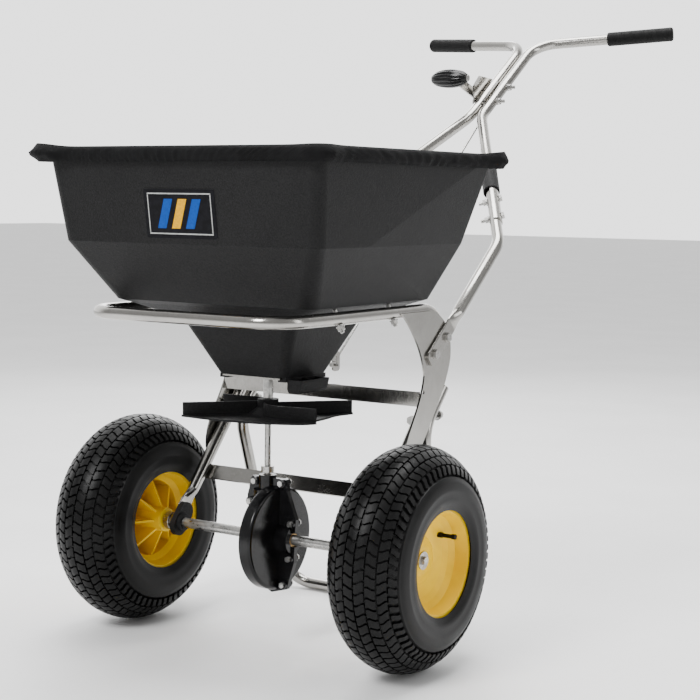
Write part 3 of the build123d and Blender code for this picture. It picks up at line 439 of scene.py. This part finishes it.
# ------------------------------------------------------------------ hand grips
def make_grip(side):
    """A foam-rubber sleeve with fine rings, a rolled mouth and a domed end."""
    name = "hand_grip_" + side
    points = np.array([vertex.co for vertex in NODES[name].data.vertices])
    middle = (points.min(0) + points.max(0)) / 2
    axis = np.linalg.svd(points - points.mean(0), full_matrices=False)[2][0]
    if axis[0] * middle[0] < 0:
        axis = -axis
    along = (points - middle) @ axis
    away = np.linalg.norm(points - middle - np.outer(along, axis), axis=1)
    length, radius, hole = along.max() - along.min(), away.max(), 9.8 * MM
    direction = Vector(axis)
    start = Vector(middle) + direction * along.min()
    side_way = direction.cross(Vector((0, 0, 1))).normalized()
    up_way = side_way.cross(direction)
    edge = 4.5 * MM
    profile = [(6 * MM, hole), (0.3 * MM, hole), (0.0, radius - edge)]
    stations, turns = 190, 48
    for i in range(stations + 1):
        s = length * i / stations
        from_end = min(s, length - s)
        ring = 0.5 + 0.5 * cos(2 * pi * s / (3.1 * MM))
        r = radius - 0.45 * MM * ring ** 3 * (from_end > 6 * MM)
        if from_end < edge:
            r = radius - edge + sqrt(max(edge ** 2 - (edge - from_end) ** 2, 0))
        profile.append((s, r))
    profile.append((length - 0.1 * MM, 2 * MM))
    rings = []
    for s, r in profile:
        around = [2 * pi * k / turns for k in range(turns)]
        rings.append([start + direction * s + (side_way * cos(a) + up_way * sin(a)) * r for a in around])
    skin, faces = ring_mesh(rings)
    faces.append(tuple((len(rings) - 1) * turns + k for k in range(turns)))
    faces.append(tuple(range(turns)))
    obj = piece("grip_sleeve_" + side, mesh_from("grip_sleeve_" + side, skin, faces), "frame",
                "grip_rubber", smooth_deg=40)
    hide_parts(name)


make_grip("left")
make_grip("right")


# ------------------------------------------------------------------ rain cover
COVER_TOP_Z = 0.749
HEM_LOW_Z = 0.7268
GRID = 112
TURN_UNDER = 10 * MM
CORNER_R = 24 * MM
GATHER_PITCH = 7.5 * MM


def rounded_outline(turn, half_x, half_y, corner):
    """Point of a rounded rectangle in the direction `turn`, and how near it is to a corner."""
    dx, dy = cos(turn), sin(turn)
    reach = min(half_x / max(abs(dx), 1e-9), half_y / max(abs(dy), 1e-9))
    x, y = dx * reach, dy * reach
    cx, cy = half_x - corner, half_y - corner
    if abs(x) > cx and abs(y) > cy:
        ox, oy = (cx if x > 0 else -cx), (cy if y > 0 else -cy)
        b = -(dx * ox + dy * oy)
        c = ox * ox + oy * oy - corner * corner
        reach = -b + sqrt(max(b * b - c, 0))
        x, y = dx * reach, dy * reach
        away = Vector((x - ox, y - oy, 0)).normalized()
    else:
        away = Vector((1 if x > 0 else -1, 0, 0)) if abs(x) >= cx and abs(y) <= cy else None
        if away is None or half_x / max(abs(dx), 1e-9) > half_y / max(abs(dy), 1e-9):
            away = Vector((0, 1 if y > 0 else -1, 0))
    return Vector((x, y, 0)), away


def make_cover():
    """The rain cover: a square cloth stretched over the rim, gathered by its elastic hem."""
    low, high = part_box("cover_top")
    centre = Vector(((low[0] + high[0]) / 2, (low[1] + high[1]) / 2, 0))
    half_x, half_y = (high[0] - low[0]) / 2, (high[1] - low[1]) / 2
    skirt = COVER_TOP_Z - HEM_LOW_Z
    drop = skirt + TURN_UNDER
    reach = 1 + drop / half_x * 1.05
    # how far each corner's spare cloth stands out: front-left, front-right, rear-right, rear-left
    ears = {(-1, -1): 21 * MM, (1, -1): 5 * MM, (1, 1): 21 * MM, (-1, 1): 13 * MM}
    points, pins = [], []
    for j in range(GRID + 1):
        for i in range(GRID + 1):
            u, v = (2 * i / GRID - 1) * reach, (2 * j / GRID - 1) * reach
            m = max(abs(u), abs(v))
            turn = atan2(v * half_y, u * half_x) if m > 0 else 0
            edge, away = rounded_outline(turn, half_x, half_y, CORNER_R)
            corner = (1 if edge.x > 0 else -1, 1 if edge.y > 0 else -1)
            near = exp(-((half_x - abs(edge.x)) ** 2 + (half_y - abs(edge.y)) ** 2) / (34 * MM) ** 2)
            ear = ears[corner] * near
            if m <= 1:
                p = centre + edge * m
                lift = ear * 0.28 * max(0, (m - 0.86) / 0.14) ** 2
                p.z = COVER_TOP_Z + lift - 2.5 * MM * max(0.0, (m - 0.985) / 0.015) ** 2 * 0.4
                p += away * ear * max(0, (m - 0.9) / 0.1) ** 2
                points.append(p)
                pins.append(1.0 if m > 0.975 else 0.0)
                continue
            s = (m - 1) / (reach - 1) * drop
            around = edge.x - edge.y * 1.31
            gather = 0.9 * MM * sin(2 * pi * around / GATHER_PITCH + 3 * noise.noise(edge * 30))
            gather += 1.6 * MM * noise.noise(Vector((edge.x * 90, edge.y * 90, s * 60)))
            gather += ear * 0.5 * noise.noise(Vector((edge.x * 60, edge.y * 60, 3 + s * 40)))
            p = centre + edge
            if s < skirt:
                t = s / skirt
                belly = 2.6 * MM * sin(pi * t) + ear * (0.75 + 0.5 * sin(pi * min(t * 1.1, 1)))
                p += away * (belly + gather * min(1, 2.5 * t) + 0.4 * MM)
                p.z = COVER_TOP_Z - 0.9 * MM - (skirt - 0.9 * MM) * t
            else:
                t = (s - skirt) / TURN_UNDER
                inward = away * (-2.2 * MM * t + ear * (0.75 - 0.5 * t))
                p += inward + away * gather * 0.6
                p.z = HEM_LOW_Z - 0.8 * MM * sin(pi * t) + 3.5 * MM * t
            points.append(p)
            pins.append(1.0)
    faces = []
    for j in range(GRID):
        for i in range(GRID):
            a = j * (GRID + 1) + i
            faces.append((a, a + 1, a + GRID + 2, a + GRID + 1))
    mesh = mesh_from("rain_cover_cloth", points, faces)
    obj = piece("rain_cover_cloth", mesh, "rain_cover", "cover_fabric")
    pinned = obj.vertex_groups.new(name="pinned")
    for index, weight in enumerate(pins):
        if weight:
            pinned.add([index], weight, "REPLACE")
    cloth = obj.modifiers.new("cloth", "CLOTH")
    cloth.settings.vertex_group_mass = "pinned"
    cloth.settings.quality = 6
    cloth.settings.mass = 0.12
    cloth.settings.tension_stiffness = 12
    cloth.settings.compression_stiffness = 8
    cloth.settings.bending_stiffness = 0.4
    cloth.settings.shrink_min = -0.012
    cloth.collision_settings.use_collision = False
    for number in range(1, 26):
        bpy.context.scene.frame_set(number)
    evaluated = obj.evaluated_get(bpy.context.evaluated_depsgraph_get())
    settled = bpy.data.meshes.new_from_object(evaluated)
    obj.modifiers.clear()
    obj.data = settled
    bpy.context.scene.frame_set(1)
    settled.shade_smooth()
    cover_area = sum(p.area for p in settled.polygons)
    side = sqrt(cover_area)
    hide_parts("cover_top", "cover_hem")
    return obj, side


cover, cover_side = make_cover()


# ------------------------------------------------------------------ badge print
def make_badge():
    """A plain generic print: a border and three slanted bars."""
    low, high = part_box("front_badge")
    down = Vector((0, high[1] - low[1] - 0.6 * MM, low[2] - high[2])).normalized()
    top_left = Vector((low[0], low[1] - 0.12 * MM, high[2]))
    width = high[0] - low[0]
    height = (high[2] - low[2]) / abs(down.z)
    out = Vector((0, -1, 0))

    def at(x, y, lift):
        return top_left + Vector((x * width, 0, 0)) + down * (y * height) + out * lift

    def plate(name, corners, material):
        points = [at(x, y, 0.02 * MM) for x, y in corners] + [at(x, y, 0.22 * MM) for x, y in corners]
        n = len(corners)
        faces = [tuple(range(n)), tuple(range(2 * n - 1, n - 1, -1))]
        faces += [(k, (k + 1) % n, (k + 1) % n + n, k + n) for k in range(n)]
        piece(name, mesh_from(name, points, faces), "frame", "badge", material)

    pale = badge_ink("badge_pale", (0.42, 0.43, 0.42, 1))
    yellow = badge_ink("badge_yellow", (0.75, 0.38, 0.001, 1))
    blue = badge_ink("badge_blue", (0.002, 0.06, 0.32, 1))
    margin, line = 0.05, 0.012
    inner = 1 - margin

    def upright(x):
        return [(x, 0.115), (x + line, 0.115), (x + line, 0.885), (x, 0.885)]

    plate("badge_edge_top", [(margin, 0.08), (inner, 0.08), (inner, 0.105), (margin, 0.105)], pale)
    plate("badge_edge_low", [(margin, 0.895), (inner, 0.895), (inner, 0.92), (margin, 0.92)], pale)
    plate("badge_edge_left", upright(margin), pale)
    plate("badge_edge_right", upright(inner - line), pale)
    for k in range(3):
        x = 0.17 + 0.2 * k
        corners = [(x + 0.12, 0.2), (x + 0.24, 0.2), (x + 0.12, 0.8), (x, 0.8)]
        plate("badge_bar_" + str(k + 1), corners, blue if k != 1 else yellow)


make_badge()


# ------------------------------------------------------------------ floor, light, camera
def make_floor():
    size, level = 24.0, -0.8 * MM
    points = [(x * size, y * size, level) for x, y in ((-1, -1), (1, -1), (1, 1), (-1, 1))]
    mesh = mesh_from("floor", points, [(0, 1, 2, 3)])
    obj = bpy.data.objects.new("floor", mesh)
    bpy.context.scene.collection.objects.link(obj)
    s = Shader("floor")
    s.colour(s.mix(s.ramp(s.noise(3, 3), 0, 1), (0.86, 0.86, 0.86, 1), (0.9, 0.9, 0.9, 1)))
    s.roughness(s.ramp(s.noise(40, 3), 0.55, 0.65))
    mesh.materials.append(s.material)


def make_light(name, place, target, size, power):
    data = bpy.data.lights.new(name, "AREA")
    data.shape = "RECTANGLE"
    data.size, data.size_y = size
    data.energy = power
    obj = bpy.data.objects.new(name, data)
    obj.location = place
    obj.rotation_euler = (Vector(target) - Vector(place)).to_track_quat("-Z", "Y").to_euler()
    bpy.context.scene.collection.objects.link(obj)


def make_world():
    """A studio that is bright behind the machine, to its left, and dimmer all round."""
    world = bpy.data.worlds.new("studio")
    bpy.context.scene.world = world
    world.use_nodes = True
    nodes, links = world.node_tree.nodes, world.node_tree.links
    behind = nodes.new("ShaderNodeVectorMath")
    behind.operation = "DOT_PRODUCT"
    behind.inputs[1].default_value = (-0.7, 0.7, 0)
    links.new(nodes.new("ShaderNodeTexCoord").outputs["Generated"], behind.inputs[0])
    glow = nodes.new("ShaderNodeMapRange")
    glow.interpolation_type = "SMOOTHSTEP"
    glow.inputs["From Min"].default_value = 0.15
    glow.inputs["From Max"].default_value = 0.75
    glow.inputs["To Min"].default_value = 0.5
    glow.inputs["To Max"].default_value = 2.4
    links.new(behind.outputs["Value"], glow.inputs["Value"])
    background = nodes["Background"]
    background.inputs["Color"].default_value = (1, 1, 1, 1)
    links.new(glow.outputs["Result"], background.inputs["Strength"])


def make_camera():
    right = Vector((0.83350504, 0.55237041, 0.01250218))
    up = Vector((-0.06407876, 0.0741676, 0.99518495))
    back = right.cross(up)
    data = bpy.data.cameras.new("camera")
    data.sensor_width = 36
    data.lens = 80.84
    data.clip_end = 50
    obj = bpy.data.objects.new("camera", data)
    turn = Matrix((right, up, back)).transposed()
    obj.matrix_world = Matrix.Translation((1.4040, -1.9014, 0.6819)) @ turn.to_4x4()
    bpy.context.scene.collection.objects.link(obj)
    bpy.context.scene.camera = obj


make_floor()
make_light("key", (-0.4, -2.8, 3.0), (0, 0, 0.6), (1.2, 1.2), 130)
make_light("side", (3.0, 0.6, 1.5), (0, 0, 0.5), (0.8, 2.2), 22)
make_light("top", (0.0, 0.6, 3.4), (0, 0.1, 0.5), (2.0, 2.0), 150)
make_light("back", (-1.8, 2.6, 1.8), (0, 0.3, 0.6), (1.6, 1.6), 40)
make_world()
make_camera()

bpy.context.view_layer.update()
